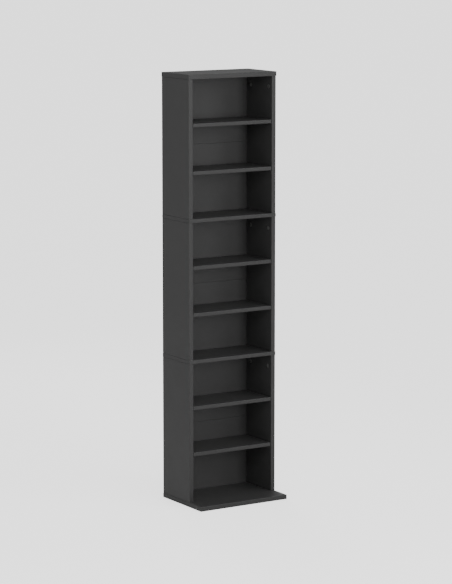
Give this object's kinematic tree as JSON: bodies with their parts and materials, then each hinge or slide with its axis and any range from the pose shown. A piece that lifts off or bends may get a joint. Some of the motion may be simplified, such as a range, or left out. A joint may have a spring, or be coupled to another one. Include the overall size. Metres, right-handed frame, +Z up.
{
  "type": "cd dvd storage tower",
  "caption": "Tall, slim, open tower of dark grey board for CD and DVD cases: stacked modules with loose shelves on pins, thin back panels and a base board that reaches forward as a foot.",
  "frame": {"origin": "on the floor, at the middle of the base board's underside", "axes": "+X to the right seen from the open front, +Y to the rear (the open front faces -Y), +Z up"},
  "size_m": [0.33, 0.24, 1.4],
  "materials": {
    "melamine": "satin dark grey melamine on chipboard, with plastic edging of the same colour",
    "fibreboard": "thin fibreboard with a satin dark grey printed foil in front",
    "zinc": "die-cast zinc, dull",
    "steel": "zinc-plated steel",
    "plastic": "matt black moulded plastic"
  },
  "bodies": {
    "carcass": {"base_board": "melamine", "base_screw_left_front": "steel", "base_screw_left_rear": "steel", "base_screw_right_front": "steel", "base_screw_right_rear": "steel", "lower_left_side": "melamine", "lower_right_side": "melamine", "lower_back_panel": "fibreboard", "lower_cam_lock_left_front": "zinc", "lower_cam_lock_left_rear": "zinc", "lower_cam_lock_right_front": "zinc", "lower_cam_lock_right_rear": "zinc", "shelf_6_pin_left_front": "plastic", "shelf_6_pin_left_rear": "plastic", "shelf_6_pin_right_front": "plastic", "shelf_6_pin_right_rear": "plastic", "shelf_5_pin_left_front": "plastic", "shelf_5_pin_left_rear": "plastic", "shelf_5_pin_right_front": "plastic", "shelf_5_pin_right_rear": "plastic", "board_above_lower_module": "melamine", "middle_left_side": "melamine", "middle_right_side": "melamine", "middle_back_panel": "fibreboard", "middle_cam_lock_left_front": "zinc", "middle_cam_lock_left_rear": "zinc", "middle_cam_lock_right_front": "zinc", "middle_cam_lock_right_rear": "zinc", "shelf_4_pin_left_front": "plastic", "shelf_4_pin_left_rear": "plastic", "shelf_4_pin_right_front": "plastic", "shelf_4_pin_right_rear": "plastic", "shelf_3_pin_left_front": "plastic", "shelf_3_pin_left_rear": "plastic", "shelf_3_pin_right_front": "plastic", "shelf_3_pin_right_rear": "plastic", "board_above_middle_module": "melamine", "upper_left_side": "melamine", "upper_right_side": "melamine", "upper_back_panel": "fibreboard", "upper_cam_lock_left_front": "zinc", "upper_cam_lock_left_rear": "zinc", "upper_cam_lock_right_front": "zinc", "upper_cam_lock_right_rear": "zinc", "shelf_2_pin_left_front": "plastic", "shelf_2_pin_left_rear": "plastic", "shelf_2_pin_right_front": "plastic", "shelf_2_pin_right_rear": "plastic", "shelf_1_pin_left_front": "plastic", "shelf_1_pin_left_rear": "plastic", "shelf_1_pin_right_front": "plastic", "shelf_1_pin_right_rear": "plastic", "top_board": "melamine"},
    "loose_shelf_1": {"shelf_1": "melamine"},
    "loose_shelf_2": {"shelf_2": "melamine"},
    "loose_shelf_3": {"shelf_3": "melamine"},
    "loose_shelf_4": {"shelf_4": "melamine"},
    "loose_shelf_5": {"shelf_5": "melamine"},
    "loose_shelf_6": {"shelf_6": "melamine"}
  },
  "joints": [
    {"name": "shelf_1_pull", "type": "slide", "parent": "carcass", "child": "loose_shelf_1", "axis": [0, -1, 0], "range_m": [0, 0.155]},
    {"name": "shelf_2_pull", "type": "slide", "parent": "carcass", "child": "loose_shelf_2", "axis": [0, -1, 0], "range_m": [0, 0.155]},
    {"name": "shelf_3_pull", "type": "slide", "parent": "carcass", "child": "loose_shelf_3", "axis": [0, -1, 0], "range_m": [0, 0.155]},
    {"name": "shelf_4_pull", "type": "slide", "parent": "carcass", "child": "loose_shelf_4", "axis": [0, -1, 0], "range_m": [0, 0.155]},
    {"name": "shelf_5_pull", "type": "slide", "parent": "carcass", "child": "loose_shelf_5", "axis": [0, -1, 0], "range_m": [0, 0.155]},
    {"name": "shelf_6_pull", "type": "slide", "parent": "carcass", "child": "loose_shelf_6", "axis": [0, -1, 0], "range_m": [0, 0.155]}
  ]
}
